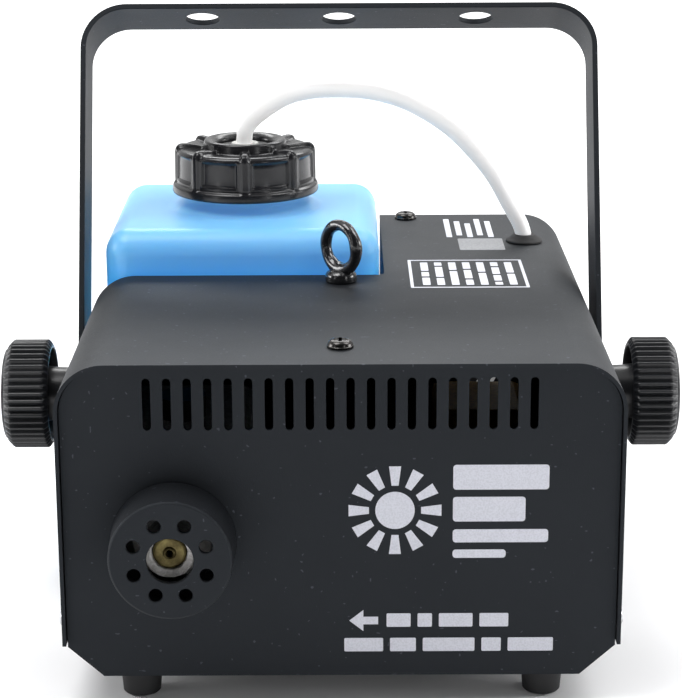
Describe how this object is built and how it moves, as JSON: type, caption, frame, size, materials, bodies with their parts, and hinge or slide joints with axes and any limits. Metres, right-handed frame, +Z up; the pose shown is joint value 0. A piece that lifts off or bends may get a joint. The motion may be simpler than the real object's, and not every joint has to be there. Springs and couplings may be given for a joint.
{
  "type": "fog machine",
  "caption": "Compact fog machine: black sheet cabinet with brass nozzle, blue fluid tank with cap and feed tube, hanging bracket with clamp knobs, eye bolt and rubber feet.",
  "frame": {"origin": "middle of the bounding box's footprint, on the ground under the feet, measured without the free feed tube", "axes": "+X to the right seen from the front, across the widest size over the two clamp knobs; +Y to the rear, so the fog leaves towards -Y; +Z up"},
  "size_m": [0.239, 0.232, 0.2051],
  "materials": {
    "black_plastic": "satin moulded",
    "black_powder_coat": "fine textured satin black powder coat",
    "black_rubber": "matt",
    "black_steel": "gloss black over steel",
    "blue_tank": "translucent blow-moulded polyethylene",
    "brass": "turned, slightly heat stained",
    "cast_aluminium": "as cast",
    "circuit_board": "solder mask",
    "coil_tape": "polyester tape over copper winding",
    "red_plastic": "gloss",
    "silicone": "milky translucent silicone",
    "white_insulation": "matt fibre insulation",
    "white_plastic": "matt moulded",
    "zinc_steel": "bright zinc plate"
  },
  "bodies": {
    "cabinet": {"bay_wall": "black_powder_coat", "chassis": "black_powder_coat", "circuit_board": "circuit_board", "cover": "black_powder_coat", "eye_bolt": "black_steel", "eye_bolt_nut": "zinc_steel", "feed_tube": "silicone", "foot_front_left": "black_rubber", "foot_front_right": "black_rubber", "foot_rear_left": "black_rubber", "foot_rear_right": "black_rubber", "heater_block": "cast_aluminium", "heater_bracket": "zinc_steel", "heating_element": "zinc_steel", "inner_hose": "silicone", "insulation_front_pad": "white_insulation", "insulation_jacket": "white_insulation", "nozzle": "brass", "nozzle_guard": "black_powder_coat", "pivot_bolt_left": "zinc_steel", "pivot_bolt_right": "zinc_steel", "pivot_nut_left": "zinc_steel", "pivot_nut_right": "zinc_steel", "pivot_washer_left": "black_rubber", "pivot_washer_right": "black_rubber", "power_inlet": "black_plastic", "power_switch_body": "black_plastic", "pressure_tube": "brass", "pump_body": "black_plastic", "pump_coil": "coil_tape", "pump_cradle": "zinc_steel", "pump_outlet": "brass", "relay": "circuit_board", "remote_socket": "black_plastic", "screw_side_front_left": "zinc_steel", "screw_side_front_right": "zinc_steel", "screw_side_rear_left": "zinc_steel", "screw_side_rear_right": "zinc_steel", "screw_top_front": "black_steel", "screw_top_rear": "black_steel", "tank": "blue_tank", "tank_shelf": "black_powder_coat", "terminal_block": "black_plastic", "thermostat": "black_plastic", "transformer": "coil_tape", "tube_grommet": "black_rubber"},
    "bracket": {"bracket": "black_powder_coat"},
    "knob_left": {"knob_left": "black_plastic"},
    "knob_right": {"knob_right": "black_plastic"},
    "cap_plug": {"cap_plug": "white_plastic", "dip_tube": "silicone", "intake_filter": "brass"},
    "cap": {"tank_cap": "black_plastic"},
    "rocker": {"power_switch_rocker": "red_plastic"},
    "fuse_drawer": {"fuse_drawer": "black_plastic"},
    "plunger": {"pump_piston": "zinc_steel"}
  },
  "joints": [
    {"name": "bracket_tilt", "type": "hinge", "parent": "cabinet", "child": "bracket", "pos_m": [0, 0.0046, 0.0726], "axis": [1, 0, 0], "range_deg": [-87, 140]},
    {"name": "knob_left_turn", "type": "hinge", "parent": "cabinet", "child": "knob_left", "pos_m": [-0.11, 0.0046, 0.0726], "axis": [-1, 0, 0], "range_deg": [-180, 180]},
    {"name": "knob_right_turn", "type": "hinge", "parent": "cabinet", "child": "knob_right", "pos_m": [0.11, 0.0046, 0.0726], "axis": [1, 0, 0], "range_deg": [-180, 180]},
    {"name": "cap_lift", "type": "slide", "parent": "cabinet", "child": "cap_plug", "axis": [0, 0, 1], "range_m": [0, 0.018], "deforming": ["feed_tube"]},
    {"name": "cap_turn", "type": "hinge", "parent": "cap_plug", "child": "cap", "pos_m": [-0.0354, 0.0637, 0.1345], "axis": [0, 0, 1], "range_deg": [0, 360]},
    {"name": "power_switch", "type": "hinge", "parent": "cabinet", "child": "rocker", "pos_m": [0.062, 0.1095, 0.077], "axis": [0, 0, -1], "range_deg": [0, 10]},
    {"name": "fuse_drawer_slide", "type": "slide", "parent": "cabinet", "child": "fuse_drawer", "axis": [0, 1, 0], "range_m": [0, 0.013]},
    {"name": "pump_stroke", "type": "slide", "parent": "cabinet", "child": "plunger", "axis": [0, 1, 0], "range_m": [-0.004, 0.004], "stiffness_N_per_m": 400}
  ]
}
